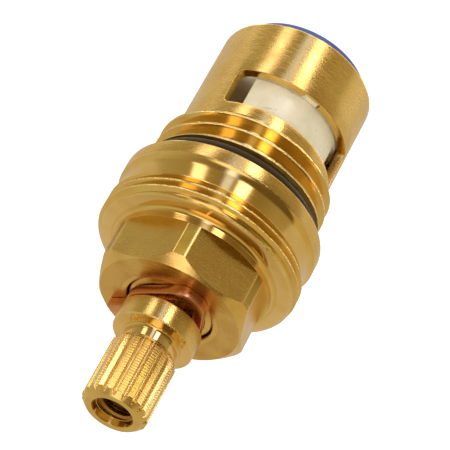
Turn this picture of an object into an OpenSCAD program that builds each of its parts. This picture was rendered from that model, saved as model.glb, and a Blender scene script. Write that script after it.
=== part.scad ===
// Quarter-turn ceramic disc cartridge for a tap, in millimetres.
// The part stands on its seal, with the seal's face at z = 0 and the turning axis along +Z.
// The two side windows look along -Y and +Y, and the discs are drawn in the closed position.

/* [Casing] */
// Outer diameter of the casing
casing_d = 18.6; // [18.4:0.1:19]
// Wall of the casing
casing_wall = 1.1; // [0.9:0.05:1.2]
// Length of the casing, from its open end to the mounting thread
casing_h = 14; // [13.5:0.5:18]
// Distance from the open end to the lower edge of the windows
window_z = 7.5; // [7:0.1:8]
// Height of each window
window_h = 5; // [4:0.1:5.2]
// Angle that each window takes up
window_angle = 118; // [90:2:130]
// Corner radius of the windows
window_corner = 0.85; // [0.4:0.05:1.2]
// Width of the two keyways that hold the fixed disc
keyway_w = 2.3; // [1.8:0.1:3]
// Depth of the keyways in the casing's wall
keyway_depth = 0.65; // [0.4:0.05:0.75]
// Chamfer on the outer edge of the open end
casing_chamfer = 0.2; // [0.1:0.05:0.4]

/* [Body] */
// Major diameter of the mounting thread, a half inch pipe thread
mount_thread_d = 20.95; // [20.4:0.05:21.2]
// Length of the mounting thread
mount_thread_h = 4.6; // [4:0.1:8]
// Lead-in chamfer of the mounting thread
mount_thread_lead = 0.9; // [0.4:0.1:1.2]
// Height of the groove for the body's sealing ring
groove_h = 2.75; // [2.4:0.05:3.5]
// Diameter of the flange
flange_d = 24; // [23.4:0.1:28]
// Thickness of the flange
flange_t = 1.7; // [1.2:0.05:4]
// Diameter of the smooth relief above the flange
relief_d = 22.8; // [22:0.1:23]
// Height of the relief
relief_h = 2.7; // [1.5:0.05:5]
// Height of the sloping foot between the flange and the relief
relief_foot = 0.6; // [0.2:0.05:0.9]
// Major diameter of the shroud thread
shroud_thread_d = 23.9; // [23.4:0.1:27]
// Length of the shroud thread
shroud_thread_h = 3.1; // [2:0.1:6]
// Lead-in chamfer of the shroud thread
shroud_thread_lead = 0.55; // [0.3:0.05:0.8]
// Diameter of the turned bar that the hexagon is milled from
bar_d = 18.85; // [18.2:0.05:19.4]
// Height of the plain band below the hexagon
band_h = 0.65; // [0.4:0.05:2]
// Radius of the fillet below the band
band_fillet = 0.5; // [0.3:0.05:1]
// Width across the flats of the hexagon
hex_af = 17; // [16.8:0.1:18]
// Height of the hexagon's flats
hex_h = 5.35; // [4:0.05:9]
// Diameter of the flat face on top of the hexagon
hex_face_d = 16.6; // [15:0.1:16.7]
// Diameter of the bore that the spindle turns in
body_bore = 10.3; // [10.2:0.05:10.6]

/* [Discs and seal] */
// Height of the seal that stands out of the casing
seal_proud = 1.6; // [0.8:0.1:2.4]
// Depth of the seal inside the casing
seal_inset = 3; // [2.5:0.1:3.4]
// Radial width of the seal's rubber
seal_w = 1.8; // [1.5:0.1:2.2]
// Radial gap between the seal and the casing
seal_clearance = 0.17; // [0.05:0.01:0.3]
// Wall of the stiff ring inside the seal
support_wall = 0.7; // [0.5:0.05:1]
// Distance from the support ring to each end of the seal
support_margin = 0.5; // [0.3:0.1:0.9]
// Thickness of the fixed disc
fixed_disc_t = 4.3; // [3.6:0.1:4.6]
// Thickness of the moving disc
moving_disc_t = 4.6; // [4:0.1:5]
// Radial gap between the discs and the casing
disc_clearance = 0.2; // [0.1:0.05:0.3]
// Gap on each side of a lug in its keyway
lug_clearance = 0.12; // [0.08:0.01:0.3]
// Gap between the lapped faces of the two discs
lap_gap = 0.02; // [0.01:0.01:0.05]
// Angle of each solid wing of the moving disc
wing_angle = 95; // [92:1:100]
// Angle of each port in the fixed disc
port_angle = 76; // [60:1:84]
// Inner radius of the ports and of the disc's openings
port_in = 2.4; // [1.8:0.1:3]
// Outer radius of the ports
port_out = 5.4; // [4.5:0.1:5.5]
// Small chamfer on the edges of the discs
disc_chamfer = 0.2; // [0.1:0.05:0.4]

/* [Spindle] */
// Diameter of the spindle where it turns in the body
guide_d = 10; // [9.9:0.05:10.1]
// Depth of the guide's top edge below the hexagon's face
guide_recess = 0.15; // [0.05:0.05:0.5]
// Thickness of the flange that the water pushes against the washer
spindle_flange_t = 2; // [1.6:0.1:3]
// Diameter of that flange
spindle_flange_d = 13; // [12.6:0.1:13.2]
// Width of the driving tongue
tongue_w = 4; // [3:0.1:5]
// Length of the driving tongue
tongue_l = 11.6; // [9:0.1:12.4]
// Depth of the driving tongue
tongue_h = 1.8; // [1:0.1:2.4]
// Gap round the tongue in its pocket
tongue_clearance = 0.1; // [0.05:0.01:0.2]
// Thickness of the friction washer
washer_t = 0.8; // [0.5:0.1:1.2]
// Running gap over the spindle's flange and over the washer
axial_play = 0.05; // [0.02:0.01:0.15]
// Angle of each stop rib in the body
stop_rib = 40; // [30:1:60]
// Quarter turn that the stops allow
turn = 90; // [80:1:90]
// Height from the top of the windows to the stops
stop_gap = 0.3; // [0.2:0.05:0.5]
// Depth that ribs, ears and lugs reach into the solid that carries them
rooting = 0.6; // [0.4:0.1:1]
// Height of the clip's groove above the hexagon's face
clip_groove_h = 1.9; // [1.4:0.05:3]
// Diameter at the bottom of the clip's groove
clip_groove_d = 7.3; // [6.8:0.1:7.8]
// Diameter of the collar above the clip
collar_d = 9.45; // [8.8:0.05:9.9]
// Height of the collar
collar_h = 2.55; // [1.5:0.05:4]
// Diameter of the plain neck below the splines
neck_d = 6.4; // [5.8:0.1:6.6]
// Height of the neck
neck_h = 1.85; // [1:0.05:4]
// Diameter over the splines
spline_d = 7.65; // [7.4:0.05:8]
// Height of the straight part of the splines
spline_h = 6.65; // [5:0.05:14]
// Number of splines
spline_count = 20; // [16:1:24]
// Depth of the grooves between the splines
spline_depth = 0.4; // [0.25:0.05:0.5]
// Width of a groove at the outside
spline_gap = 0.5; // [0.3:0.05:0.7]
// Width of a groove at its bottom
spline_root = 0.14; // [0.05:0.01:0.25]
// Angle that the splines are turned by against the body, as the spindle stands
spline_turn = 4.2; // [0:0.2:18]
// Chamfer on the turned edges of the guide and the collar
edge_chamfer = 0.15; // [0.05:0.05:0.25]
// Height of the chamfer at the spindle's tip
tip_chamfer_h = 0.6; // [0.3:0.05:1]
// Depth of that chamfer across the radius
tip_chamfer_w = 0.62; // [0.4:0.02:0.8]
// Diameter of the hole for the handle's screw, at the thread crests
screw_hole_d = 3.75; // [3.2:0.05:4.2]
// Depth of the screw hole
screw_hole_depth = 9.5; // [6:0.5:14]
// Diameter of the plain mouth of the screw hole
screw_mouth_d = 4.9; // [4.4:0.05:5.2]
// Depth of the plain mouth
screw_mouth_depth = 0.8; // [0.4:0.1:2]

/* [Clip] */
// Thickness of the clip's strip, across
clip_t = 1.14; // [0.8:0.02:1.3]
// Height of the clip's strip
clip_h = 1.2; // [0.9:0.05:1.35]
// Gap between the clip and the bottom of its groove
clip_clearance = 0.07; // [0.05:0.01:0.2]
// Distance that the lobe reaches from the axis
clip_reach = 6.05; // [5.8:0.05:6.6]
// Outer radius of the lobe
clip_lobe_r = 2.6; // [2.2:0.05:3]
// Length of the two ends that stand out
clip_end_l = 2.6; // [1.8:0.1:3]
// Angle from the lobe to the root of each end
clip_end_angle = 124; // [115:1:140]
// Angle between each end and the radius through its root
clip_end_slant = 16; // [0:1:25]
// Angle of the lobe from the front of the body
clip_turn = 8.5; // [0:0.5:30]

/* [Sealing rings] */
// Section of the body's sealing ring
body_ring_t = 1.95; // [1.6:0.05:2.2]
// Section of the two spindle rings
spindle_ring_t = 1.36; // [1.2:0.02:1.5]
// Room beside a spindle ring in its groove
ring_room = 0.5; // [0.3:0.1:1]
// Gap between a ring and the walls that it seals
ring_clearance = 0.03; // [0.02:0.01:0.06]
// Distance from the hexagon's face to the upper spindle ring
upper_ring_depth = 7.5; // [5:0.5:10]
// Distance between the two spindle rings
ring_pitch = 4.5; // [3.5:0.5:7]

/* [Hidden] */
$fn = 96;
over = 1;
// Tiny inset that keeps two joined curves from only just touching
seam = 0.01;
brass = "#c8a24a";
steel_brass = "#b8923c";
copper = "#9a5a2a";
ceramic = "#eee8d2";
rubber = "#35322c";
blue_rubber = "#5562a0";
white_plastic = "#e8e6df";

// Rise of a gently sloping turned face
face_rise = 0.2;

// Levels of the body, from the seal's face up
z_end = seal_proud;
z_window = z_end + window_z;
z_window_top = z_window + window_h;
z_thread = z_end + casing_h;
z_groove = z_thread + mount_thread_h;
z_flange = z_groove + groove_h;
z_relief = z_flange + flange_t;
z_shroud = z_relief + relief_h;
z_shroud_top = z_shroud + shroud_thread_h;
z_band = z_shroud_top + band_fillet + face_rise;
z_hex = z_band + band_h;
z_face = z_hex + hex_h;

// Levels of the discs and of what lies on them
z_fixed = z_end + seal_inset;
z_moving = z_fixed + fixed_disc_t + lap_gap;
z_drive = z_moving + moving_disc_t + axial_play;
z_washer = z_drive + spindle_flange_t + axial_play;
z_shoulder = z_washer + washer_t;

// Radii inside the casing
casing_r = casing_d / 2;
chamber_r = casing_r - casing_wall;
disc_r = chamber_r - disc_clearance;
seal_r = chamber_r - seal_clearance;
seal_h = seal_proud + seal_inset;
// Height on the seal where the recess for the support ring begins
support_recess = seal_proud + support_margin;
keyway_r = chamber_r + keyway_depth;
lug_r = keyway_r - lug_clearance - disc_clearance / 2;
lug_w = keyway_w - 2 * lug_clearance;
groove_r = mount_thread_d / 2 - body_ring_t * 0.75;
stop_r = spindle_flange_d / 2 + disc_clearance;
z_stop = z_window_top + stop_gap;
ear_angle = 180 - stop_rib - turn;
// Play of the ears between the ribs, in degrees
stop_play = 1;

// Levels of the spindle
guide_r = guide_d / 2;
z_guide = z_face - guide_recess;
z_collar = z_face + clip_groove_h;
z_neck = z_collar + collar_h + face_rise;
z_runout = z_neck + neck_h;
runout_h = (spline_d - neck_d) / 2 * 1.2;
z_spline = z_runout + runout_h;
z_tip_edge = z_spline + spline_h;
z_tip = z_tip_edge + tip_chamfer_h;
z_upper_ring = z_face - upper_ring_depth;
z_lower_ring = z_upper_ring - ring_pitch;

// Clip measures that follow from the groove
clip_in = clip_groove_d / 2 + clip_clearance;
clip_out = clip_in + clip_t;
clip_lobe_y = clip_reach - clip_lobe_r;

// Tube of outer radius r and inner radius q, from z to z + h
module tube(r, q, z, h) {
    translate([0, 0, z])
        difference() {
            cylinder(r = r, h = h);
            translate([0, 0, -over])
                cylinder(r = q, h = h + 2 * over);
        }
}

// Wedge of angle a about the -Y direction, reaching radius r, from z to z + h
module wedge(a, r, z, h) {
    reach = r / cos(a / 4);
    translate([0, 0, z])
        linear_extrude(height = h)
            polygon(concat([[0, 0]], [for (k = [-2:2]) reach * [sin(k * a / 4), -cos(k * a / 4)]]));
}

// The same shape at the front and turned by half a turn
module front_and_back() {
    for (a = [0, 180])
        rotate([0, 0, a])
            children();
}

// Ring of round section t that lies round radius r at height z
module round_ring(r, t, z) {
    translate([0, 0, z])
        rotate_extrude($fn = 128)
            translate([r, 0])
                circle(d = t, $fn = 48);
}

// Outline of the body's turned outside, from the open end to the band
function body_outline() = [
    [0, z_end],
    [casing_r - casing_chamfer, z_end],
    [casing_r, z_end + casing_chamfer],
    [casing_r, z_thread],
    [mount_thread_d / 2, z_thread + mount_thread_lead],
    [mount_thread_d / 2, z_groove],
    [groove_r, z_groove],
    [groove_r, z_flange],
    [flange_d / 2, z_flange],
    [flange_d / 2, z_relief],
    [relief_d / 2, z_relief + relief_foot],
    [relief_d / 2, z_shroud],
    [shroud_thread_d / 2, z_shroud + (shroud_thread_d - relief_d) / 4],
    [shroud_thread_d / 2, z_shroud_top - shroud_thread_lead],
    [shroud_thread_d / 2 - shroud_thread_lead, z_shroud_top],
    [bar_d / 2 + band_fillet, z_shroud_top + face_rise],
    [bar_d / 2, z_band],
    [bar_d / 2, z_hex],
    [0, z_hex]
];

module body_outside() {
    rotate_extrude($fn = 180)
        difference() {
            polygon(body_outline());
            translate([bar_d / 2 + band_fillet, z_band])
                circle(r = band_fillet, $fn = 64);
        }
    intersection() {
        translate([0, 0, z_hex])
            cylinder(d = bar_d, h = hex_h, $fn = 180);
        translate([0, 0, z_hex - over])
            cylinder(d = hex_af / cos(30), h = hex_h + 2 * over, $fn = 6);
        // The turned chamfer on the corners of the hexagon
        translate([0, 0, z_hex - over])
            cylinder(r1 = hex_face_d / 2 + hex_h + over, r2 = hex_face_d / 2, h = hex_h + over, $fn = 180);
    }
}

// Cutter for one window at the front: a wedge, and at each side a slot as a small end mill leaves it
module window_cut() {
    side_angle = window_angle / 2 - window_corner / casing_r * 180 / PI;
    wedge(2 * side_angle, casing_r + over, z_window, window_h);
    for (side = [-1, 1])
        rotate([0, 0, side * side_angle])
            translate([0, 0, z_window + window_h / 2])
                rotate([90, 0, 0])
                    linear_extrude(height = casing_r + over) {
                        square([2 * window_corner, window_h - 2 * window_corner], center = true);
                        for (end = [-1, 1])
                            translate([0, end * (window_h / 2 - window_corner - seam)])
                                circle(r = window_corner, $fn = 48);
                    }
}

module stop_ribs() {
    rotate([0, 0, -(turn + stop_rib + ear_angle) / 2])
        front_and_back()
            intersection() {
                tube(chamber_r + casing_wall / 4, stop_r, z_stop, z_shoulder + rooting - z_stop);
                wedge(stop_rib, casing_r, z_stop - over, z_shoulder - z_stop + 2 * over);
            }
}

module body() {
    color(brass) {
        difference() {
            body_outside();
            translate([0, 0, z_end - over])
                cylinder(r = chamber_r, h = z_shoulder - z_end + over, $fn = 128);
            translate([0, 0, z_end])
                cylinder(d = body_bore, h = z_face - z_end + over);
            front_and_back()
                intersection() {
                    window_cut();
                    tube(casing_r + 3 * over, chamber_r - over, z_end, casing_h);
                }
            front_and_back()
                translate([-keyway_w / 2, -keyway_r, z_end - over])
                    cube([keyway_w, keyway_r, window_z + 2 * over]);
        }
        stop_ribs();
    }
}

module body_ring() {
    color(rubber)
        round_ring(groove_r + ring_clearance + body_ring_t / 2, body_ring_t,
            z_flange - ring_clearance - body_ring_t / 2);
}

// Straight V-shaped grooves between the splines, open at the tip
module spline_grooves() {
    mid = spline_d / 2 - spline_depth;
    top = spline_d / 2 + 0.1;
    flare = (spline_gap - spline_root) / spline_depth * 0.1;
    for (k = [0:spline_count - 1])
        rotate([0, 0, spline_turn + (k + 0.5) * 360 / spline_count])
            translate([0, 0, z_neck])
                linear_extrude(height = z_tip - z_neck + over)
                    polygon([
                        [mid, -spline_root / 2],
                        [top, -(spline_gap + flare) / 2],
                        [top, (spline_gap + flare) / 2],
                        [mid, spline_root / 2]
                    ]);
}

// Outline of the turned spindle with its screw hole, without the splines and the ring grooves
function spindle_outline() = [
    [0, z_drive],
    [spindle_flange_d / 2, z_drive],
    [spindle_flange_d / 2, z_drive + spindle_flange_t],
    [guide_r, z_drive + spindle_flange_t],
    [guide_r, z_guide - edge_chamfer],
    [guide_r - edge_chamfer, z_guide],
    [clip_groove_d / 2, z_guide],
    [clip_groove_d / 2, z_collar],
    [collar_d / 2 - edge_chamfer, z_collar],
    [collar_d / 2, z_collar + edge_chamfer],
    [collar_d / 2, z_collar + collar_h - edge_chamfer],
    [collar_d / 2 - edge_chamfer, z_collar + collar_h],
    [neck_d / 2, z_neck],
    [neck_d / 2, z_runout],
    [spline_d / 2, z_spline],
    [spline_d / 2, z_tip_edge],
    [spline_d / 2 - tip_chamfer_w, z_tip],
    [screw_mouth_d / 2, z_tip],
    [screw_mouth_d / 2, z_tip - screw_mouth_depth],
    [screw_hole_d / 2, z_tip - screw_mouth_depth - face_rise],
    [screw_hole_d / 2, z_tip - screw_hole_depth],
    [seam, z_tip - screw_hole_depth - screw_hole_d / 4],
    [0, z_tip - screw_hole_depth - screw_hole_d / 4]
];

module ring_groove(z) {
    w = spindle_ring_t + ring_room;
    tube(guide_r + over, body_bore / 2 - spindle_ring_t - 2 * ring_clearance, z - w / 2, w);
}

// Two ears that meet the stop ribs at either end of the quarter turn
module stop_ears() {
    ear_h = z_drive + spindle_flange_t - edge_chamfer - z_stop;
    rotate([0, 0, -turn / 2])
        front_and_back()
            intersection() {
                tube(disc_r, spindle_flange_d / 2 - rooting, z_stop, ear_h);
                wedge(ear_angle - stop_play, casing_r, z_stop - over, ear_h + 2 * over);
            }
}

module spindle() {
    color(steel_brass) {
        difference() {
            rotate_extrude($fn = 128)
                polygon(spindle_outline());
            spline_grooves();
            ring_groove(z_upper_ring);
            ring_groove(z_lower_ring);
        }
        stop_ears();
        // The tongue that turns the moving disc
        intersection() {
            translate([-tongue_w / 2, -tongue_l, z_drive - tongue_h])
                cube([tongue_w, 2 * tongue_l, tongue_h]);
            translate([0, 0, z_drive - tongue_h])
                cylinder(d = tongue_l, h = tongue_h);
        }
    }
}

// Solid bounded by the ring circle, the lobe circle and the two lines that touch both
module clip_blank(ring, lobe, z, h) {
    slope = (ring - lobe) / clip_lobe_y;
    along = sqrt(1 - slope * slope);
    translate([0, 0, z]) {
        cylinder(r = ring, h = h);
        translate([0, -clip_lobe_y, 0])
            cylinder(r = lobe, h = h);
        linear_extrude(height = h)
            polygon([
                [along * (ring - seam), -slope * ring],
                [along * (lobe - seam), -clip_lobe_y - slope * lobe],
                [-along * (lobe - seam), -clip_lobe_y - slope * lobe],
                [-along * (ring - seam), -slope * ring]
            ]);
    }
}

module spindle_clip() {
    z = z_face + lap_gap;
    mid = (clip_in + clip_out) / 2;
    color(copper)
        rotate([0, 0, clip_turn]) {
            difference() {
                clip_blank(clip_out, clip_lobe_r, z, clip_h);
                clip_blank(clip_in, clip_lobe_r - clip_t, z - over, clip_h + 2 * over);
                rotate([0, 0, 180])
                    wedge(360 - 2 * clip_end_angle, clip_reach, z - over, clip_h + 2 * over);
            }
            for (side = [-1, 1])
                rotate([0, 0, side * clip_end_angle])
                    translate([0, -mid, z]) {
                        cylinder(d = clip_t - 2 * seam, h = clip_h, $fn = 48);
                        rotate([0, 0, side * clip_end_slant])
                            translate([-clip_t / 2, -clip_end_l, 0])
                                cube([clip_t, clip_end_l, clip_h]);
                    }
        }
}

module spindle_ring(z) {
    color(rubber)
        round_ring((body_bore - spindle_ring_t) / 2 - ring_clearance, spindle_ring_t, z);
}

module spindle_ring_upper() {
    spindle_ring(z_upper_ring);
}

module spindle_ring_lower() {
    spindle_ring(z_lower_ring);
}

module friction_washer() {
    color(white_plastic)
        tube(spindle_flange_d / 2, guide_r + axial_play, z_washer, washer_t);
}

// Round disc of radius disc_r with a small chamfer on both edges
module disc_blank(z, t) {
    translate([0, 0, z])
        rotate_extrude($fn = 128)
            polygon([
                [0, 0],
                [disc_r - disc_chamfer, 0],
                [disc_r, disc_chamfer],
                [disc_r, t - disc_chamfer],
                [disc_r - disc_chamfer, t],
                [0, t]
            ]);
}

module moving_disc() {
    pocket_w = tongue_w + 2 * tongue_clearance;
    pocket_d = tongue_l + 2 * tongue_clearance;
    pocket_h = tongue_h + axial_play;
    color(ceramic)
        difference() {
            disc_blank(z_moving, moving_disc_t);
            // The two openings between the wings
            rotate([0, 0, 90])
                front_and_back()
                    difference() {
                        wedge(180 - wing_angle, disc_r + over, z_moving - over, moving_disc_t + 2 * over);
                        translate([0, 0, z_moving - 2 * over])
                            cylinder(r = port_in, h = moving_disc_t + 4 * over);
                    }
            // The pocket for the spindle's tongue
            intersection() {
                translate([-pocket_w / 2, -pocket_d, z_moving + moving_disc_t - pocket_h])
                    cube([pocket_w, 2 * pocket_d, pocket_h + over]);
                translate([0, 0, z_moving + moving_disc_t - pocket_h - over])
                    cylinder(d = pocket_d, h = pocket_h + 3 * over);
            }
        }
}

module fixed_disc() {
    color(ceramic) {
        difference() {
            disc_blank(z_fixed, fixed_disc_t);
            front_and_back()
                intersection() {
                    tube(port_out, port_in, z_fixed - over, fixed_disc_t + 2 * over);
                    wedge(port_angle, disc_r, z_fixed - over, fixed_disc_t + 2 * over);
                }
        }
        // The lugs that stand in the casing's keyways
        front_and_back()
            translate([-lug_w / 2, -lug_r, z_fixed])
                cube([lug_w, lug_r - disc_r + rooting, fixed_disc_t]);
    }
}

// Outline of the seal's section: rounded sealing face, plain skirt, recess for the support ring
module seal() {
    bead = seal_w / 3;
    inner = seal_r - seal_w;
    color(blue_rubber)
        rotate_extrude($fn = 128)
            difference() {
                union() {
                    translate([inner - support_wall, bead])
                        square([seal_w + support_wall, seal_h - bead]);
                    translate([inner - support_wall + bead, 0])
                        square([seal_w + support_wall - 2 * bead, seal_h]);
                    translate([inner - support_wall + bead, bead])
                        circle(r = bead, $fn = 48);
                    translate([seal_r - bead, bead])
                        circle(r = bead, $fn = 48);
                }
                translate([inner - support_wall - over, support_recess])
                    square([support_wall + over, seal_h - support_recess + over]);
            }
}

module seal_support_ring() {
    color(white_plastic)
        tube(seal_r - seal_w - ring_clearance, seal_r - seal_w - support_wall, support_recess + ring_clearance,
            seal_h - support_recess - 2 * ring_clearance);
}

body();
body_ring();
spindle();
spindle_clip();
spindle_ring_upper();
spindle_ring_lower();
friction_washer();
moving_disc();
fixed_disc();
seal();
seal_support_ring();
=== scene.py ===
"""Looks of a quarter-turn ceramic disc cartridge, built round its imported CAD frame.

Lengths are millimetres and angles are degrees unless a name says otherwise. The cartridge stands on its
seal with +Z along its turning axis. An angle round that axis is counted from the front (-Y) towards +X.
"""

import logging
from dataclasses import dataclass, field
from enum import Enum, IntEnum

import bmesh
import bpy
import numpy as np
from bpy.types import Material, Mesh, Node, NodeSocket, NodeTree, Object
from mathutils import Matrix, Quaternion, Vector

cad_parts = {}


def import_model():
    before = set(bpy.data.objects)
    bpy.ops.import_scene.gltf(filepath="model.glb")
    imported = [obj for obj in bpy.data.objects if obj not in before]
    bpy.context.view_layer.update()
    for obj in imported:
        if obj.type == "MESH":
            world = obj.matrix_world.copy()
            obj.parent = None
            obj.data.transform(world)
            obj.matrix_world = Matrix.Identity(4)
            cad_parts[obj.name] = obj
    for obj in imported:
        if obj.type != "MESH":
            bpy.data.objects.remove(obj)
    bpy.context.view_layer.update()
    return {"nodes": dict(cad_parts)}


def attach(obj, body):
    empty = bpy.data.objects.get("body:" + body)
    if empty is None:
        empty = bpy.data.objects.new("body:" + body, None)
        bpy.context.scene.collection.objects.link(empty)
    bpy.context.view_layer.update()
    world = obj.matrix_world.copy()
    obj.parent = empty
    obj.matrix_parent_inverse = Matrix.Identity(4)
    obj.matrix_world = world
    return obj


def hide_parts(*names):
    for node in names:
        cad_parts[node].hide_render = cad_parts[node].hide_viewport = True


MM = 0.001
LOG = logging.getLogger("cartridge")
# Range that a noise texture fills, and the part of it that turns a surface from clean to dull
NOISE_RANGE = (0.36, 0.64)
DULL_RANGE = (0.42, 0.72)
# Sockets of a mix node that take its two colours, and the output that gives the mixed one
MIX_FIRST, MIX_SECOND, MIX_COLOUR = 6, 7, 2
# Share of the tool marks in how a metal's roughness wanders; its cloudy patches have the rest
MARK_SHARE = 0.6
# Points closer than the first size become one, and edges shorter than the second are taken out
WELD = 0.002
SLIVER = 0.0005
# Angles of the columns of a plain ring
ROUND_TURN = np.arange(0, 360, 2.0)
Pair = tuple[float, float]
Triple = tuple[float, float, float]


def linear(code: str, strength: float = 1.0) -> tuple[float, float, float, float]:
    """Turns an sRGB colour into the linear colour that shaders and lights take.

    Args:
        code: The colour as six hexadecimal digits after a hash sign.
        strength: Factor on the linear colour, other than 1 only for lights.

    Returns:
        Red, green, blue and an alpha of 1.
    """
    parts = [int(code[i : i + 2], 16) / 255 for i in (1, 3, 5)]
    made = [c / 12.92 if c <= 0.04045 else ((c + 0.055) / 1.055) ** 2.4 for c in parts]
    return (*(c * strength for c in made), 1.0)


def add_node(tree: NodeTree, kind: str, *inputs: object, at: dict[int, object] | None = None,
             stops: list | None = None, **named: object) -> Node:
    """Adds one shader node with its settings and links.

    Args:
        tree: The node tree that the node goes into.
        kind: The node's type without its ShaderNode prefix.
        *inputs: Its inputs in order. A node stands for its first output, and None leaves an input alone.
        at: Further inputs, by number.
        stops: Places and colours along a colour ramp.
        **named: Settings in small letters, and inputs with a capital, with underscores for spaces.

    Returns:
        The new node.
    """
    node = tree.nodes.new("ShaderNode" + kind)
    given = {**dict(enumerate(inputs)), **(at or {})}
    for name, value in named.items():
        if name[0].isupper():
            given[name.replace("_", " ")] = value
        else:
            setattr(node, name, value)
    if stops:
        elements = node.color_ramp.elements
        elements.remove(elements[1])
        elements[0].position, elements[0].color = stops[0]
        for place, colour in stops[1:]:
            elements.new(place).color = colour
    for key, value in given.items():
        value = value.outputs[0] if isinstance(value, Node) else value
        if isinstance(value, NodeSocket):
            tree.links.new(value, node.inputs[key])
        elif value is not None:
            node.inputs[key].default_value = value
    return node


def new_material(name: str, tint: str) -> tuple[Material, NodeTree]:
    """Makes a material with an empty node tree.

    Args:
        name: The material's name.
        tint: The colour that stands for it in a plain viewport.

    Returns:
        The material and its tree.
    """
    material = bpy.data.materials.new(name)
    material.diffuse_color = linear(tint)
    material.use_nodes = True
    material.node_tree.nodes.clear()
    return material, material.node_tree


class Lay(Enum):
    """Which way the tool marks of a machined surface run."""

    ROUND = "round the axis, as a lathe leaves them"
    ALONG = "along the strip, as a drawing die leaves them"
    CROSS = "across a flat, as a milling cutter leaves them"
    SCALLOPED = "in steps along the axis, as a hob leaves them on splines"


@dataclass(frozen=True)
class Metal:
    """A bare machined metal.

    Args:
        name: The material's name.
        tint: Colour of the clean metal.
        shade: Colour of its duller patches.
        rough: Roughness of the surface.
        spread: How far the roughness wanders on both sides.
        lay: Which way the tool marks run.
        pitch: Distance between tool marks.
        length: Length of one mark.
        depth: Height of the marks.
        stretch: Anisotropy, which spreads a highlight across the marks.
        grit: Height of fine pits and burrs without direction.
        patch: Size of the duller patches.
        speck: Size of the pits and burrs.
        body_r: Radius at which marks round the axis have their full length.
        wander: How far a hob's waves stray, in pitches.
        wave: Height of a hob's wave, in depths.
    """

    name: str
    tint: str
    shade: str
    rough: float
    spread: float
    lay: Lay
    pitch: float
    length: float
    depth: float
    stretch: float = 0.0
    grit: float = 0.0
    patch: float = 2.6
    speck: float = 0.14
    body_r: float = 9.0
    wander: float = 0.25
    wave: float = 0.045

    def build(self) -> Material:
        """Makes the material.

        Returns:
            The new material.
        """
        material, tree = new_material(self.name, self.tint)
        place = add_node(tree, "TexCoord").outputs["Object"]
        marks = self.marks(tree, place)
        cloud = add_node(tree, "TexNoise", place, Scale=1 / (self.patch * MM), Detail=3.0)
        dull = add_node(tree, "MapRange", cloud, *DULL_RANGE, 0.0, 1.0)
        tints = {MIX_FIRST: linear(self.tint), MIX_SECOND: linear(self.shade)}
        colour = add_node(tree, "Mix", dull, at=tints, data_type="RGBA").outputs[MIX_COLOUR]
        mixed = add_node(tree, "Math", marks, MARK_SHARE, operation="MULTIPLY")
        mixed = add_node(tree, "Math", cloud, 1 - MARK_SHARE, mixed, operation="MULTIPLY_ADD")
        rough = add_node(tree, "MapRange", mixed, *NOISE_RANGE, self.rough - self.spread,
                         self.rough + self.spread)
        fine = add_node(tree, "TexNoise", place, Scale=1 / (self.speck * MM), Detail=1.0)
        pits = add_node(tree, "Bump", 1.0, self.grit * MM, Height=fine)
        bump = add_node(tree, "Bump", 1.0, self.depth * MM, Height=marks, Normal=pits)
        streaks = {}
        if self.stretch:
            tangent = add_node(tree, "Tangent", direction_type="RADIAL", axis="Z")
            # A quarter turn lays the highlight across the marks
            streaks = {"Tangent": tangent, "Anisotropic": self.stretch, "Anisotropic_Rotation": 0.25}
        shader = add_node(tree, "BsdfPrincipled", Base_Color=colour, Metallic=1.0, Roughness=rough,
                          Normal=bump, **streaks)
        add_node(tree, "OutputMaterial", shader)
        return material

    def marks(self, tree: NodeTree, place: NodeSocket) -> Node:
        """Adds the tool marks' height.

        Args:
            tree: The material's tree.
            place: Coordinates on the piece.

        Returns:
            The node whose first output is the height.
        """
        z = add_node(tree, "SeparateXYZ", place).outputs["Z"]
        across, along = 1 / (self.pitch * MM), 1 / (self.length * MM)
        if self.lay in (Lay.CROSS, Lay.ALONG):
            low, high = (along, across) if self.lay is Lay.CROSS else (across, across)
            stretched = add_node(tree, "VectorMath", place, (low, low, high), operation="MULTIPLY")
            return add_node(tree, "TexNoise", stretched, Scale=1.0, Detail=2.0)
        flat = add_node(tree, "VectorMath", place, (1, 1, 0), operation="MULTIPLY")
        radius = add_node(tree, "VectorMath", flat, operation="LENGTH").outputs["Value"]
        spoke = add_node(tree, "VectorMath", flat, operation="NORMALIZE")
        turned = add_node(tree, "VectorMath", spoke, (self.body_r * MM * along,) * 3, operation="MULTIPLY")
        turned_x, turned_y, _ = add_node(tree, "SeparateXYZ", turned).outputs
        level = add_node(tree, "Math", z, across, operation="MULTIPLY")
        rings = add_node(tree, "Math", radius, across, operation="MULTIPLY")
        spot = add_node(tree, "CombineXYZ", turned_x, turned_y, level)
        lines = add_node(tree, "TexNoise", spot, rings, Scale=1.0, Detail=2.0, noise_dimensions="4D")
        if self.lay is Lay.ROUND:
            return lines
        strayed = add_node(tree, "Math", lines, self.wander, level, operation="MULTIPLY_ADD")
        phase = add_node(tree, "Math", strayed, 2 * np.pi, operation="MULTIPLY")
        sine = add_node(tree, "Math", phase, operation="SINE")
        return add_node(tree, "Math", sine, self.wave, strayed, operation="MULTIPLY_ADD")


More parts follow.
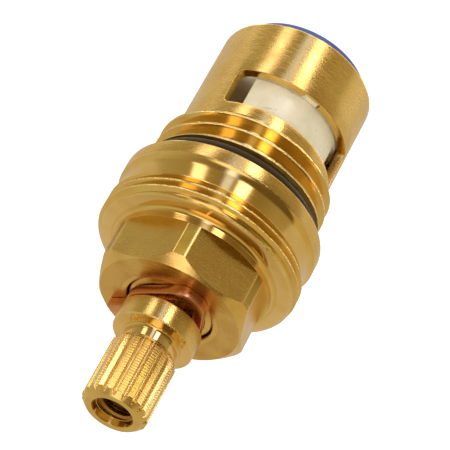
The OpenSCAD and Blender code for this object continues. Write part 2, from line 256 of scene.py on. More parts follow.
@dataclass(frozen=True)
class Moulded:
    """A rubber, plastic, ceramic or grease with its colour all through.

    Args:
        name: The material's name.
        tint: Its main colour.
        shade: Colour of the smudges on it.
        rough: Roughness of the surface.
        ior: Index of refraction.
        grain: Size of the smudges.
        smudge: Share of the surface that is smudged.
        depth: Height of the fine unevenness.
        mark: Colour of metal rubbed off on it, or nothing.
        gloss: Strength of its reflection, 0.5 for a clean surface.
        speck: Size of the fine unevenness.
        streak: Width of the rubbed marks.
    """

    name: str
    tint: str
    shade: str
    rough: float
    ior: float
    grain: float
    smudge: float
    depth: float
    mark: str = ""
    gloss: float = 0.5
    speck: float = 0.15
    streak: float = 0.9

    def build(self) -> Material:
        """Makes the material.

        Returns:
            The new material.
        """
        material, tree = new_material(self.name, self.tint)
        place = add_node(tree, "TexCoord").outputs["Object"]
        cloud = add_node(tree, "TexNoise", place, Scale=1 / (self.grain * MM), Detail=4.0)
        edge = 0.72 - 0.3 * self.smudge
        dull = add_node(tree, "MapRange", cloud, edge - 0.1, edge + 0.1, 0.0, 1.0)
        tints = {MIX_FIRST: linear(self.tint), MIX_SECOND: linear(self.shade)}
        colour = add_node(tree, "Mix", dull, at=tints, data_type="RGBA").outputs[MIX_COLOUR]
        if self.mark:
            # The marks are 2.4 times as long across the axis as along it, and never cover all of the colour
            streaks = add_node(tree, "VectorMath", place, (0.9, 0.9, 2.2), operation="MULTIPLY")
            spots = add_node(tree, "TexNoise", streaks, Scale=1 / (self.streak * MM), Detail=3.0,
                             Distortion=1.2)
            rubbed = add_node(tree, "MapRange", spots, 0.66, 0.74, 0.0, 0.75)
            tints = {MIX_FIRST: colour, MIX_SECOND: linear(self.mark)}
            colour = add_node(tree, "Mix", rubbed, at=tints, data_type="RGBA").outputs[MIX_COLOUR]
        fine = add_node(tree, "TexNoise", place, Scale=1 / (self.speck * MM), Detail=2.0)
        bump = add_node(tree, "Bump", 1.0, self.depth * MM, Height=fine)
        wander = add_node(tree, "MapRange", cloud, 0.3, 0.7, self.rough - 0.05, self.rough + 0.05)
        shader = add_node(tree, "BsdfPrincipled", Base_Color=colour, Roughness=wander, IOR=self.ior,
                          Normal=bump, Specular_IOR_Level=self.gloss)
        add_node(tree, "OutputMaterial", shader)
        return material


class Finishes:
    """Every finish of the cartridge.

    A finishing cut leaves lines 0.03 to 0.1 mm apart, and pits and burrs of about 0.05 mm. The lines are
    drawn 0.10 to 0.25 mm apart and the pits 0.14 mm wide, because finer ones don't show in the render. So
    is the unevenness of moulded and fired pieces, 0.15 mm instead of about 0.03 mm. The hob's waves are
    0.33 mm apart, as in the photograph.
    """

    # Turned brass: satin, with fine lines round the axis that break a highlight into threads of light
    satin_brass = Metal("satin_turned_brass", "#EAC671", "#E0B865", 0.24, 0.08, Lay.ROUND, 0.16, 1.4, 0.0055,
                        0.55, 0.010)
    # The same brass cut with a sharp form tool: it mirrors the studio with crisp edges
    bright_brass = Metal("bright_turned_brass", "#EAC671", "#E4BC66", 0.15, 0.04, Lay.ROUND, 0.12, 3.0, 0.003,
                         0.6)
    # Thread crests are torn and burred: they sparkle whatever they face
    burred_brass = Metal("burred_brass_edges", "#F2D68E", "#EAC671", 0.24, 0.06, Lay.ROUND, 0.10, 0.3, 0.02,
                         0.0, 0.045)
    # Milled flats of the hexagon: smooth and a little cloudy
    milled_brass = Metal("milled_brass", "#E6C26C", "#DAB462", 0.24, 0.05, Lay.CROSS, 0.25, 4.0, 0.0013, 0.0,
                         0.005)
    # The hexagon's face, turned with a coarse feed: rings round the bore blur what stands on it
    faced_brass = Metal("faced_brass", "#E2B968", "#CFA250", 0.27, 0.06, Lay.ROUND, 0.22, 2.5, 0.009, 0.2)
    # Faces next to a wall, cut last with a fine feed: clean, pale, and sharp enough to mirror that wall
    fine_brass = Metal("fine_faced_brass", "#F4D088", "#EAC474", 0.08, 0.02, Lay.ROUND, 0.12, 3.0, 0.0015,
                       0.3)
    # The bar's own drawn skin, left at the hexagon's corners: dull and yellow, with bright specks
    bar_skin = Metal("drawn_brass_bar_skin", "#BC9C3F", "#A48532", 0.40, 0.10, Lay.CROSS, 0.15, 0.3, 0.03,
                     0.0, 0.07)
    # Hobbed splines: waves from the cutter's feed throw light up and down
    hobbed_brass = Metal("hobbed_brass", "#F0D488", "#E8C674", 0.22, 0.05, Lay.SCALLOPED, 0.33, 0.8, 0.100)
    # The gaps between the splines: the same waves, in a paler brass
    pale_gap_brass = Metal("hobbed_brass_gaps", "#FBEAB8", "#F4DEA4", 0.28, 0.05, Lay.SCALLOPED, 0.33, 0.8,
                         0.100)
    # The tapped hole is a duller brown-gold than the rest of the brass, and soft where it should mirror
    # itself
    tapped_brass = Metal("brown_tapped_brass", "#BC8A42", "#8E6226", 0.30, 0.06, Lay.ROUND, 0.12, 1.0, 0.004)
    # Phosphor bronze strip: redder than the brass, with the die's satin lines
    strip_bronze = Metal("drawn_bronze_strip", "#E7A270", "#D28C58", 0.30, 0.06, Lay.ALONG, 0.12, 3.0, 0.003)
    # Nitrile rubber from a steel mould: nearly black with a soft sheen
    black_rubber = Moulded("moulded_black_rubber", "#362812", "#443418", 0.55, 1.52, 2.0, 0.3, 0.002,
                           gloss=0.12)
    # Painted shade: a brown film over the brass of the ring groove hides the polish and shows its own colour,
    # which stands in for the brass's dim look in the shade under the flange
    painted_groove_shade = Moulded("painted_shade_groove_brown", "#6E501E", "#5C4218", 0.40, 1.47, 1.2, 0.5, 0.004, gloss=0.4)
    # Silicone rubber, tinted blue: soft and even
    blue_rubber = Moulded("moulded_blue_rubber", "#5565A8", "#4A5A9C", 0.45, 1.43, 2.0, 0.3, 0.002)
    # Fired alumina: warm white with a faint gloss, and grey-brown where brass has rubbed on it
    ceramic = Moulded("fired_alumina", "#E9DCB9", "#DDD0AA", 0.30, 1.76, 2.4, 0.5, 0.001, "#A8977A")
    # Acetal from a mould: even white
    plastic = Moulded("moulded_white_acetal", "#E6E4DC", "#D8D5CA", 0.42, 1.48, 2.0, 0.3, 0.002)


def curve(start: np.ndarray, corner: np.ndarray, end: np.ndarray, steps: int) -> list[np.ndarray]:
    """Draws a curve that leaves its start and reaches its end in the corner's direction.

    Args:
        start: First end.
        corner: The corner that it rounds or fills.
        end: Other end.
        steps: Facets in the curve.

    Returns:
        Its points, one more than it has facets.
    """
    shares = np.linspace(0, 1, steps + 1)
    return [(1 - t) ** 2 * start + 2 * t * (1 - t) * corner + t**2 * end for t in shares]


def rounded(corners: list[tuple], radii: list[float], guard: float = 0.05, steps: int = 3) -> np.ndarray:
    """Rounds the corners of one outline, for all columns at once.

    Args:
        corners: Corner points as (radius, height), each a number or one number per column.
        radii: Rounding of each corner, 0 for none.
        guard: Distance of the extra points that keep the flats' shading flat.
        steps: Facets in each rounded corner.

    Returns:
        Points of shape (rows, columns, 2).
    """
    width = max(np.size(v) for c in corners for v in c)
    points = np.array([[np.broadcast_to(np.asarray(v, float), (width,)) for v in c] for c in corners])
    points = points.transpose(0, 2, 1)
    rows = [points[0]]
    for i, radius in enumerate(radii[1:-1], 1):
        here, back, ahead = points[i], points[i - 1] - points[i], points[i + 1] - points[i]
        if radius <= 0:
            rows.append(here)
            continue
        to_back, to_ahead = (np.linalg.norm(v, axis=1)[:, None] for v in (back, ahead))
        back, ahead = back / np.maximum(to_back, 1e-9), ahead / np.maximum(to_ahead, 1e-9)
        bend = np.arccos(np.clip(-(back * ahead).sum(1), -1, 1))[:, None]
        # Less than half of each side goes into a corner, so that two corners never meet
        cut = np.minimum(radius * np.tan(np.clip(bend, 0, 2.8) / 2), 0.42 * np.minimum(to_back, to_ahead))
        rows.append(here + back * np.minimum(cut + guard, 0.48 * to_back))
        rows += curve(here + back * cut, here, here + ahead * cut, steps)
        rows.append(here + ahead * np.minimum(cut + guard, 0.48 * to_ahead))
    rows.append(points[-1])
    return np.array(rows)


def swept(*points: Pair, steps: int = 8) -> np.ndarray:
    """Draws a hollow fillet.

    Args:
        *points: Its start, the corner that it fills and its end, each as (radius, height).
        steps: Facets in the fillet.

    Returns:
        Points of shape (steps + 1, 1, 2).
    """
    return np.array(curve(*(np.array([p], float) for p in points), steps))


@dataclass
class Shell:
    """A mesh made of patches laid round the axis."""

    points: list = field(default_factory=list)
    faces: list = field(default_factory=list)
    slots: list = field(default_factory=list)
    count: int = 0

    def patch(self, turn: np.ndarray, radius: np.ndarray, height: np.ndarray, closed: bool = True,
              slot: int | np.ndarray = 0, shift: int = 0) -> None:
        """Adds a grid of faces.

        Args:
            turn: Angles round the axis, one per column or one per point.
            radius: Radii, of shape (rows, columns) or one per row.
            height: Heights, shaped like the radii.
            closed: Whether the last column joins the first.
            slot: Number of the material, or an array that spreads over the grid of faces.
            shift: Rows that the last column is shifted by where it meets the first, as in a helix.
        """
        turn, radius, height = (np.asarray(v, float) for v in (turn, radius, height))
        columns = turn.shape[-1]
        radius, height = (v[:, None] if v.ndim == 1 else v for v in (radius, height))
        shape = (len(radius), columns)
        radius, height = np.broadcast_to(radius, shape), np.broadcast_to(height, shape)
        turn = np.radians(np.broadcast_to(turn, shape))
        spots = np.stack([radius * np.sin(turn), -radius * np.cos(turn), height], -1).reshape(-1, 3)
        slots = np.broadcast_to(slot, (shape[0] - 1, columns)).tolist()
        for j in range(columns if closed else columns - 1):
            k, step = (0, shift) if j == columns - 1 else (j + 1, 0)
            for i in range(shape[0] - 1 - step):
                a, b = self.count + i * columns + j, self.count + (i + step) * columns + k
                self.faces.append((a, b, b + columns, a + columns))
                self.slots.append(slots[i][j])
        self.points.append(spots)
        self.count += len(spots)

    def lathe(self, turn: np.ndarray, outline: np.ndarray, slot: int | np.ndarray = 0) -> None:
        """Adds an outline swept round the axis.

        Args:
            turn: Angles of the columns.
            outline: Points of shape (rows, columns, 2), (rows, 1, 2) or (rows, 2).
            slot: Number of the material, or an array that spreads over the grid of faces.
        """
        outline = np.asarray(outline, float)
        self.patch(turn, outline[..., 0], outline[..., 1], slot=slot)

    def block(self, corners: list[tuple]) -> None:
        """Adds a closed block of the first material.

        Args:
            corners: Eight points, four round the bottom and the four above them.
        """
        b = self.count
        self.points.append(np.asarray(corners, float))
        self.count += 8
        sides = [(b + i, b + (i + 1) % 4, b + 4 + (i + 1) % 4, b + 4 + i) for i in range(4)]
        self.faces += [(b + 3, b + 2, b + 1, b), (b + 4, b + 5, b + 6, b + 7), *sides]
        self.slots += [0] * 6

    def arc(self, middle: float, half: float, radii: Pair, heights: Pair, steps: int) -> None:
        """Adds a block bent round the axis.

        Args:
            middle: Angle of its middle.
            half: Angle from its middle to each end.
            radii: Inner and outer radius.
            heights: Its bottom and its top.
            steps: Facets along it.
        """
        turns = np.radians(np.linspace(middle - half, middle + half, steps + 1))
        for a, b in zip(turns[:-1], turns[1:]):
            ring = [(radii[0], a), (radii[1], a), (radii[1], b), (radii[0], b)]
            self.block([(r * np.sin(t), -r * np.cos(t), z) for z in heights for r, t in ring])

    def make(self, name: str, materials: list[Material], sharp: float = 32.0) -> Object:
        """Turns the patches into an object.

        Args:
            name: The object's name.
            materials: Its materials, in the order of the slot numbers.
            sharp: Angle between faces above which an edge stays sharp.

        Returns:
            The new object.
        """
        mesh = bpy.data.meshes.new(name)
        mesh.from_pydata((np.concatenate(self.points) * MM).tolist(), [], self.faces)
        mesh.polygons.foreach_set("material_index", self.slots)
        work = bmesh.new()
        work.from_mesh(mesh)
        bmesh.ops.remove_doubles(work, verts=work.verts, dist=WELD * MM)
        bmesh.ops.dissolve_degenerate(work, edges=work.edges, dist=SLIVER * MM)
        return finished(work, mesh, name, materials, sharp)


def finished(work: bmesh.types.BMesh, mesh: Mesh, name: str, materials: list[Material],
             sharp: float) -> Object:
    """Closes work on a mesh and puts it in the scene.

    Args:
        work: The mesh being edited.
        mesh: The mesh that it is written to.
        name: The object's name.
        materials: Its materials.
        sharp: Angle between faces above which an edge stays sharp.

    Returns:
        The new object.
    """
    bmesh.ops.recalc_face_normals(work, faces=work.faces)
    work.to_mesh(mesh)
    work.free()
    for material in materials:
        mesh.materials.append(material)
    mesh.shade_smooth()
    mesh.set_sharp_from_angle(angle=np.radians(sharp))
    made = bpy.data.objects.new(name, mesh)
    bpy.context.scene.collection.objects.link(made)
    return made


def seat(piece: Object, body: str, node: str) -> Object:
    """Puts a finished piece on its CAD body in place of its CAD node.

    Args:
        piece: The piece.
        body: The CAD body that it moves with.
        node: The CAD node that it stands for.

    Returns:
        The piece.
    """
    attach(piece, body)
    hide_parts(node)
    LOG.info("%s: %d faces on %s", piece.name, len(piece.data.polygons), body)
    return piece


@dataclass(frozen=True)
class Thread:
    """A right-hand screw thread.

    Args:
        pitch: Distance between crests.
        crest: Radius of the crests.
        depth: Height of the thread, below 0 for an inside thread.
        start: Height of a crest at angle 0.
        half_angle: Angle between a flank and the radius.
        flat: Width of the crests' flat.
        foot: Share of a flank over which the groove's foot is rounded, on both sides of its sharp corner.
    """

    pitch: float
    crest: float
    depth: float
    start: float
    half_angle: float
    flat: float
    foot: float = 0.15

    def radius(self, turn: np.ndarray, height: np.ndarray) -> np.ndarray:
        """Gives the thread's radius.

        Args:
            turn: Angles round the axis.
            height: Heights.

        Returns:
            The radii at those places.
        """
        along = (height - self.start) / self.pitch - turn / 360
        away = np.abs(along - np.round(along)) * self.pitch - self.flat / 2
        share = np.clip(away / (abs(self.depth) * np.tan(np.radians(self.half_angle))), 0, 1 + self.foot)
        into_foot = np.clip(share - (1 - self.foot), 0, None)
        return self.crest - self.depth * (share - into_foot**2 / (4 * self.foot))

    def grid(self, turn: np.ndarray, low: float,
             high: float) -> tuple[np.ndarray, np.ndarray, int, np.ndarray]:
        """Makes rows that follow the thread between two heights.

        Args:
            turn: Angles of the columns, over one full turn from the first.
            low: Lower end.
            high: Upper end.

        Returns:
            Angles and heights of the rows, the shift where the last column meets the first, and whether
            each row of faces lies on a crest.
        """
        edge = self.flat / 2 / self.pitch
        flank = abs(self.depth) * np.tan(np.radians(self.half_angle)) / self.pitch
        # Rows are closer together where the groove's foot is rounded
        half = [edge + flank * s for s in (0, 0.3, 0.6, 0.85, 0.93, 1.0, 1.07, 1.15)]
        share = np.array([0.0, *half, 0.5, *(1 - h for h in half[::-1])])
        first = int(np.floor((low - self.start) / self.pitch - turn.max() / 360)) - 1
        last = int(np.ceil((high - self.start) / self.pitch - turn.min() / 360)) + 1
        along = np.concatenate([m + share for m in range(first, last + 2)])
        height = self.start + self.pitch * (along[:, None] + turn[None, :] / 360)
        rows = len(share)
        crests = np.array([[i % rows in (0, rows - 1)] for i in range(len(along) - 1)])
        return np.broadcast_to(turn, height.shape), np.clip(height, low, high), rows, crests


class BodySlot(IntEnum):
    """Materials of the body's faces, in the order of their slots."""

    # The last slot is the painted shade of the ring groove
    SATIN, BRIGHT, BURRED, MILLED, SKIN, FACED, FINE, GREASE = range(8)


@dataclass
class Body:
    """The turned brass body: windowed casing, two threads, flange and hexagon.

    Heights are counted from the casing's open end, but for those of the shoulder, the stops and the threads'
    first crests, which are counted from the floor. The foot's corner is a step in radius and one in height.
    """

    seal_proud: float = 1.6
    casing_r: float = 9.3
    chamber_r: float = 8.2
    casing_h: float = 14.0
    casing_edge: float = 0.18
    window_low: float = 7.5
    window_high: float = 12.5
    window_half: float = 59.0
    corner: float = 0.85
    keyway_half: float = 1.15
    keyway_r: float = 8.85
    edge: float = 0.07
    groove_r: float = 9.0125
    flange_r: float = 12.0
    under_step: float = 0.35
    lip: float = 0.05
    relief_r: float = 11.4
    foot_corner: Pair = (0.13, 0.34)
    bar_r: float = 9.425
    half_flats: float = 8.5
    face_r: float = 8.3
    bore_r: float = 5.15
    mouth_step: float = 0.6
    mouth_edge: float = 0.16
    shoulder: float = 16.42
    thread_end: float = 18.97
    edge_break: float = 0.04
    groove_end: float = 21.35
    rim_end: float = 23.05
    foot_end: float = 24.05
    shroud_start: float = 25.75
    shroud_end: float = 28.85
    band_start: float = 29.55
    hex_start: float = 30.2
    face: float = 35.55
    stop_low: float = 14.4
    stop_r: float = 6.7
    stop_half: float = 20.0
    sunk: float = 0.2
    burr: float = 0.05
    mounting: Thread = Thread(1.814, 10.475, 1.155, 16.612, 27.5, 0.28)
    shroud: Thread = Thread(1.0, 11.95, 0.6, 28.45, 30.0, 0.18)
    shell: Shell = field(default_factory=Shell)

    def columns(self, spread: float, wall_r: float) -> dict[str, np.ndarray]:
        """Lays out the columns round the body so that they follow the windows' outline.

        Args:
            spread: Distance that the outline is widened by.
            wall_r: Radius of the surface that the columns lie on.

        Returns:
            Angles, heights of the windows' lower and upper edge, and which columns lie in a window.
        """
        side = self.window_half - np.degrees(np.arcsin(self.corner / self.casing_r))
        key_in = np.degrees(np.arctan(self.keyway_half / self.keyway_r))
        key_out = np.degrees(np.arcsin(self.keyway_half / self.chamber_r))
        middle = np.concatenate([np.linspace(0, key_in, 6), np.linspace(key_out, side, 35)])
        bend = np.radians(np.linspace(0, 90, 9)[1:])
        reach = self.corner + spread
        arc = side + np.degrees(np.arcsin(reach * np.sin(bend) / wall_r))
        rise = self.corner - reach * np.cos(bend)
        rest = np.linspace(arc[-1], 90, 26)[1:]
        inner, outer = len(middle), len(rest)
        turn = np.concatenate([middle, arc, rest])
        low = np.concatenate([np.full(inner, -spread), rise, np.full(outer, self.corner)])
        inside = np.arange(len(turn)) < inner + len(arc)
        # One quarter is mirrored to the other side of the window, and both are repeated at the back
        turn = np.concatenate([-turn[:0:-1], turn])[:-1]
        low, inside = (np.tile(np.concatenate([v[:0:-1], v])[:-1], 2) for v in (low, inside))
        return {"turn": np.concatenate([turn, turn + 180]), "inside": inside,
                "low": self.seal_proud + self.window_low + low,
                "high": self.seal_proud + self.window_high - low}

    def hexagon_r(self, turn: np.ndarray) -> np.ndarray:
        """Gives the radius of the milled hexagon, cut off by the bar that it is made from.

        Args:
            turn: Angles round the axis.

        Returns:
            The radii.
        """
        off = (turn + 30) % 60 - 30
        return np.minimum(self.half_flats / np.cos(np.radians(off)), self.bar_r)

    def build(self, materials: list[Material]) -> Object:
        """Makes the body.

        Args:
            materials: Its materials, one for each member of BodySlot.

        Returns:
            The finished piece.
        """
        base, out = self.seal_proud, self.columns(self.edge, self.casing_r)
        turn = out["turn"]
        self.casing(out)
        end, end_r = base + self.thread_end, self.mounting.crest - self.edge_break
        # The painted shade of the ring groove also covers the flank above the last crest
        last_crest = self.mounting.start + self.mounting.pitch * (2 + turn[0] / 360) + 0.01
        self.thread(self.mounting, turn, (base + self.casing_h, self.casing_r, 1.3), (end, end_r, 1.0),
                    last_crest)
        self.flange(turn, np.minimum(self.mounting.radius(turn, np.full(len(turn), end)), end_r))
        self.thread(self.shroud, turn, (base + self.shroud_start, self.relief_r, 1.2),
                    (base + self.shroud_end, self.relief_r - self.lip, 1.1))
        self.hexagon(turn)
        self.bore(turn)
        for middle in (90, 270):
            self.shell.arc(middle, self.stop_half, (self.stop_r, self.chamber_r + self.sunk),
                           (self.stop_low, self.shoulder + 0.3), 8)
        return seat(self.shell.make("body_machined", materials), "housing", "body")

    def thread(self, thread: Thread, turn: np.ndarray, start: Triple, end: Triple,
               shade_above: float = np.inf) -> None:
        """Adds a thread with torn crests.

        Args:
            thread: Its sizes.
            turn: Angles of the columns.
            start: Height, radius and slope of the cone that it comes out of.
            end: Height, radius and slope of the cone that it ends in.
            shade_above: Height above which its flanks take the painted shade of the ring groove.
        """
        angles, heights, shift, crests = thread.grid(turn, start[0], end[0])
        limit = np.minimum(start[1] + (heights - start[0]) * start[2], end[1] + (end[0] - heights) * end[2])
        radius = np.minimum(thread.radius(angles, heights), limit)
        torn = np.random.default_rng(7).uniform(0, self.burr, radius.shape)
        middle = np.append(crests, False) & np.append(False, crests)
        flanks = np.where(heights[:-1, :1] > shade_above, BodySlot.GREASE, BodySlot.BRIGHT)
        self.shell.patch(angles, radius - torn * middle[:, None], heights,
                         slot=np.where(crests, BodySlot.BURRED, flanks), shift=shift)

    def flange(self, turn: np.ndarray, end_r: np.ndarray) -> None:
        """Adds the ring groove, the flange and the polished relief above it.

        Args:
            turn: Angles of the columns.
            end_r: Radius at which the mounting thread ends, per column.
        """
        base, shell = self.seal_proud, self.shell
        low, groove, rim = base + self.thread_end, base + self.groove_end, base + self.rim_end
        under, rim_low = (self.flange_r - self.under_step, groove), (self.flange_r, rim - self.lip)
        rim_high = (self.flange_r - self.lip, rim + 0.04)
        # The ring groove takes the painted brown groove shade
        shell.lathe(turn, rounded([(end_r, low), (self.groove_r, low), (self.groove_r, groove), under],
                                  [0, 0.1, 0.1, 0]), BodySlot.GREASE)
        shell.lathe(turn, rounded([under, (self.flange_r, groove), rim_low], [0, 0.1, 0]))
        shell.lathe(turn, [rim_low, rim_high], BodySlot.BURRED)
        wide, tall = self.foot_corner
        foot = swept(rim_high, (self.relief_r + wide, rim + tall), (self.relief_r, base + self.foot_end))
        shell.lathe(turn, foot, BodySlot.BRIGHT)
        shell.lathe(turn, [foot[-1, 0], (self.relief_r, base + self.shroud_start)], BodySlot.BRIGHT)

    def hexagon(self, turn: np.ndarray) -> None:
        """Adds the sloping face, the round band, and the hexagon with its crown and face.

        Args:
            turn: Angles of the columns.
        """
        base, shell = self.seal_proud, self.shell
        top, band = base + self.shroud_end, base + self.band_start
        start, face = base + self.hex_start, base + self.face
        edge_r, radius = self.relief_r - self.lip, self.hexagon_r(turn)
        burr_end, slope_end = (edge_r - 0.08, top + 0.05), (self.bar_r + 0.6, top + 0.2)
        shell.lathe(turn, [(edge_r, top), burr_end], BodySlot.BURRED)
        shell.lathe(turn, [burr_end, slope_end], BodySlot.FINE)
        shell.lathe(turn, swept(slope_end, (self.bar_r + 0.05, top + 0.26), (self.bar_r, band)),
                    BodySlot.BRIGHT)
        shell.lathe(turn, rounded([(self.bar_r, band), (self.bar_r, start), (radius, start)], [0, 0.03, 0]),
                    BodySlot.BRIGHT)
        crown = face - (radius - self.face_r)
        wall = rounded([(radius, start), (radius, start + 0.15), (radius, crown), (self.face_r, face)],
                       [0, 0, 0.05, 0])
        skin = radius > self.bar_r - 1e-6
        flats = np.where(skin & np.roll(skin, -1), BodySlot.SKIN, BodySlot.MILLED)
        flats = np.tile(flats, (len(wall) - 1, 1))
        # The last rows are the crown, which is turned
        flats[-4:] = BodySlot.SATIN
        shell.lathe(turn, wall, flats)
        mouth_r = self.bore_r + self.mouth_step
        shell.lathe(turn, [(self.face_r, face), (self.face_r - 0.3, face), (mouth_r, face)],
                    BodySlot.FACED)

    def bore(self, turn: np.ndarray) -> None:
        """Adds the bore's mouth, the bore and the shoulder over the chamber.

        Args:
            turn: Angles of the columns outside.
        """
        face, inner = self.seal_proud + self.face, self.columns(self.edge, self.chamber_r)["turn"]
        mouth = rounded([(self.bore_r + self.mouth_step, face), (self.bore_r, face),
                         (self.bore_r, self.shoulder)], [0, self.mouth_edge, 0])
        share = np.linspace(0, 1, len(mouth))[:, None]
        self.shell.patch(turn * (1 - share) + inner * share, mouth[..., 0], mouth[..., 1])
        self.shell.lathe(inner, [(self.bore_r, self.shoulder), (self.chamber_r, self.shoulder)])

    def casing(self, out: dict[str, np.ndarray]) -> None:
        """Adds the windowed casing, outside and inside.

        Args:
            out: The columns of the outside.
        """
        base, top, shell = self.seal_proud, self.seal_proud + self.casing_h, self.shell
        inner = self.columns(self.edge, self.chamber_r)
        off = (inner["turn"] + 90) % 180 - 90
        in_key = np.abs(off) < np.degrees(np.arctan(self.keyway_half / self.keyway_r)) + 0.1
        wall = np.where(in_key, self.keyway_r / np.cos(np.radians(np.where(in_key, off, 0))), self.chamber_r)
        turn, count, low = out["turn"], len(out["turn"]), base + 1.0
        foot = rounded([(wall, base), (self.casing_r, base), (self.casing_r, low)], [0, self.casing_edge, 0])
        # The columns move from the inside's angles to the outside's, most of the way on the bottom face
        share = np.linspace(0, 1, len(foot))[:, None] ** 0.3
        shell.patch(inner["turn"] * (1 - share) + turn * share, foot[..., 0], foot[..., 1])
        share = np.linspace(0, 1, 4)[:, None]
        outside, inside = np.full((4, count), self.casing_r), np.full((4, count), self.chamber_r)
        shell.patch(turn, outside, low * (1 - share) + out["low"] * share)
        shell.patch(turn, outside, out["high"] * (1 - share) + top * share)
        shell.patch(inner["turn"], inside, inner["high"] * share + self.shoulder * (1 - share))
        shell.patch(inner["turn"], np.tile(wall, (4, 1)), base * share + inner["low"] * (1 - share))
        half = count // 2
        window = np.flatnonzero(out["inside"][:half])
        post = np.arange(window[-1], half + window[0] + 1)
        for shift in (0, half):
            for cols, radius, way in ((out, self.casing_r, 1), (inner, self.chamber_r, -1)):
                rolled = {k: np.roll(v, -shift) for k, v in cols.items()}
                angles = np.unwrap(rolled["turn"][post], period=360)
                heights = np.array([rolled["low"][post], rolled["high"][post]])[::way]
                shell.patch(angles, np.full((2, len(post)), radius), heights, closed=False)
            self.window_edge(shift, slice(window[0], window[-1] + 1), np.roll(wall, -shift))

    def window_edge(self, shift: int, span: slice, wall: np.ndarray) -> None:
        """Adds the cut wall round one window, with its edges broken.

        Args:
            shift: Columns from the front window to this one.
            span: Columns of the window.
            wall: Inner radius of the wall below the window, column by column from this window.
        """
        bends = np.radians([0, 30, 60, 90])
        sink, spread = self.edge * (1 - np.cos(bends)), self.edge * (1 - np.sin(bends))
        rings = []
        for outside in (True, False):
            for deep, wide in zip(sink if outside else sink[::-1], spread if outside else spread[::-1]):
                at = self.casing_r if outside else self.chamber_r
                cols = {k: np.roll(v, -shift)[span] for k, v in self.columns(wide, at).items()}
                below = np.full(len(cols["turn"]), at - deep) if outside else wall[span] + deep
                above = below if outside else np.full(len(cols["turn"]), at + deep)
                rings.append(np.concatenate([np.stack([cols["turn"], below, cols["low"]], 1),
                                             np.stack([cols["turn"], above, cols["high"]], 1)[::-1]]))
        rings = np.array(rings)
        self.shell.patch(rings[..., 0], rings[..., 1], rings[..., 2])


@dataclass
class Ring:
    """A moulded sealing ring of round section."""

    name: str
    node: str
    body: str
    radius: float
    section: float
    height: float

    def build(self, material: Material) -> Object:
        """Makes the ring.

        Args:
            material: Its rubber.

        Returns:
            The finished piece.
        """
        shell, half = Shell(), self.section / 2
        bend = np.radians(np.linspace(0, 360, 33))
        shell.patch(ROUND_TURN, self.radius + half * np.cos(bend), self.height + half * np.sin(bend))
        return seat(shell.make(self.name, [material]), self.body, self.node)


class SpindleSlot(IntEnum):
    """Materials of the spindle's faces, in the order of their slots."""

    SATIN, BRIGHT, BURRED, HOBBED, TAPPED, FINE, GAPS = range(7)


